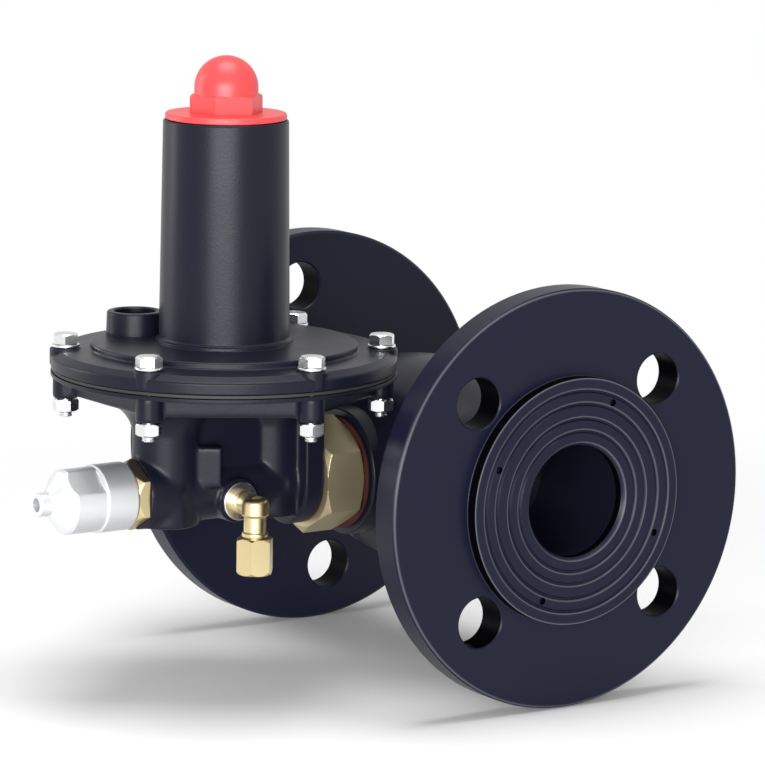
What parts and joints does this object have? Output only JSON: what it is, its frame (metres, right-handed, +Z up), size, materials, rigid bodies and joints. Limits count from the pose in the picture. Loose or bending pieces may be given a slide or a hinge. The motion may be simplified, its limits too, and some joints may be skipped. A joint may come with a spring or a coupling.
{
  "type": "safety shut-off valve",
  "caption": "Flanged gas safety shut-off valve: globe body, side trip housing, diaphragm case with spring tower, sealing cap, reset cap and sensing elbow",
  "frame": {"origin": "centre of the inlet flange's raised face, on the pipe axis", "axes": "+Y along the flow from the inlet to the outlet flange, +Z up along the spring tower, the trip actuator on the -X side"},
  "size_m": [0.2402, 0.186, 0.2275],
  "materials": {
    "black_paint": "semi-gloss black enamel over fine cast and machined metal",
    "brass": "bright turned brass",
    "bronze": "plain bearing bronze",
    "zinc": "bright zinc plate",
    "steel": "plain bright steel",
    "aluminium": "fine turned aluminium",
    "red_plastic": "moulded coral red, satin gloss",
    "rubber": "matt black nitrile rubber",
    "gasket_fibre": "pressed brown gasket sheet",
    "vent_plastic": "dark moulded plastic"
  },
  "bodies": {
    "valve": {"inlet_flange": "black_paint", "outlet_flange": "black_paint", "valve_body": "black_paint", "seat_ring": "brass", "union_hex": "brass", "union_gasket": "gasket_fibre", "spindle_seal": "rubber", "guide_bush": "bronze", "lower_case": "black_paint", "upper_cover": "black_paint", "vent_insert": "vent_plastic", "lever_pin": "steel", "pawl_pin": "steel", "reset_bush": "brass", "elbow": "brass", "elbow_washer": "zinc", "ferrule": "brass", "diaphragm": "rubber", "closing_spring": "steel", "setting_spring": "steel", "min_spring": "steel", "case_bolt_1": "zinc", "case_bolt_2": "zinc", "case_bolt_3": "zinc", "case_bolt_4": "zinc", "case_bolt_5": "zinc", "case_bolt_6": "zinc", "case_washer_1": "zinc", "case_washer_2": "zinc", "case_washer_3": "zinc", "case_washer_4": "zinc", "case_washer_5": "zinc", "case_washer_6": "zinc", "case_nut_1": "zinc", "case_nut_2": "zinc", "case_nut_3": "zinc", "case_nut_4": "zinc", "case_nut_5": "zinc", "case_nut_6": "zinc"},
    "spindle_group": {"spindle": "steel", "valve_disc": "steel", "disc_seal": "rubber", "seal_washer": "steel", "disc_nut": "steel"},
    "diaphragm_group": {"diaphragm_stem": "steel", "lower_plate": "zinc", "upper_plate": "zinc", "stem_nut": "zinc", "spring_seat": "zinc"},
    "lever_group": {"trip_lever": "steel"},
    "pawl_group": {"latch_pawl": "steel"},
    "max_adjuster_group": {"max_adjuster": "brass"},
    "min_adjuster_group": {"min_adjuster": "steel"},
    "reset_cap_group": {"reset_cap": "aluminium"},
    "red_cap_group": {"red_cap": "red_plastic"},
    "nut_group": {"compression_nut": "brass"}
  },
  "joints": [
    {"name": "spindle_pull", "type": "slide", "parent": "valve", "child": "spindle_group", "axis": [-1, 0, 0], "range_m": [0, 0.01], "stiffness_N_per_m": 1500, "springref_m": -0.012, "deforming": ["closing_spring"]},
    {"name": "diaphragm_lift", "type": "slide", "parent": "valve", "child": "diaphragm_group", "axis": [0, 0, 1], "range_m": [0, 0.003], "stiffness_N_per_m": 4000, "springref_m": -0.01, "deforming": ["setting_spring", "min_spring", "diaphragm"]},
    {"name": "trip_lever_turn", "type": "hinge", "parent": "valve", "child": "lever_group", "pos_m": [-0.0727, 0.093, 0.0243], "axis": [0, 1, 0], "range_deg": [0, 11]},
    {"name": "pawl_turn", "type": "hinge", "parent": "valve", "child": "pawl_group", "pos_m": [-0.1032, 0.093, 0.014], "axis": [0, 1, 0], "range_deg": [0, 14]},
    {"name": "max_adjuster_set", "type": "slide", "parent": "valve", "child": "max_adjuster_group", "axis": [0, 0, -1], "range_m": [0, 0.008], "deforming": ["setting_spring", "min_spring"]},
    {"name": "min_adjuster_set", "type": "slide", "parent": "max_adjuster_group", "child": "min_adjuster_group", "axis": [0, 0, -1], "range_m": [0, 0.006], "deforming": ["min_spring"]},
    {"name": "reset_cap_off", "type": "slide", "parent": "valve", "child": "reset_cap_group", "axis": [-1, 0, 0], "range_m": [0, 0.03]},
    {"name": "red_cap_off", "type": "slide", "parent": "valve", "child": "red_cap_group", "axis": [0, 0, 1], "range_m": [0, 0.03]},
    {"name": "compression_nut_turn", "type": "hinge", "parent": "valve", "child": "nut_group", "pos_m": [-0.0902, 0.069, -0.0045], "axis": [0, 0, 1], "continuous": true}
  ],
  "couplings": [
    {"joint": "trip_lever_turn", "follows": "diaphragm_lift", "rad_per_m": 62.5}
  ]
}
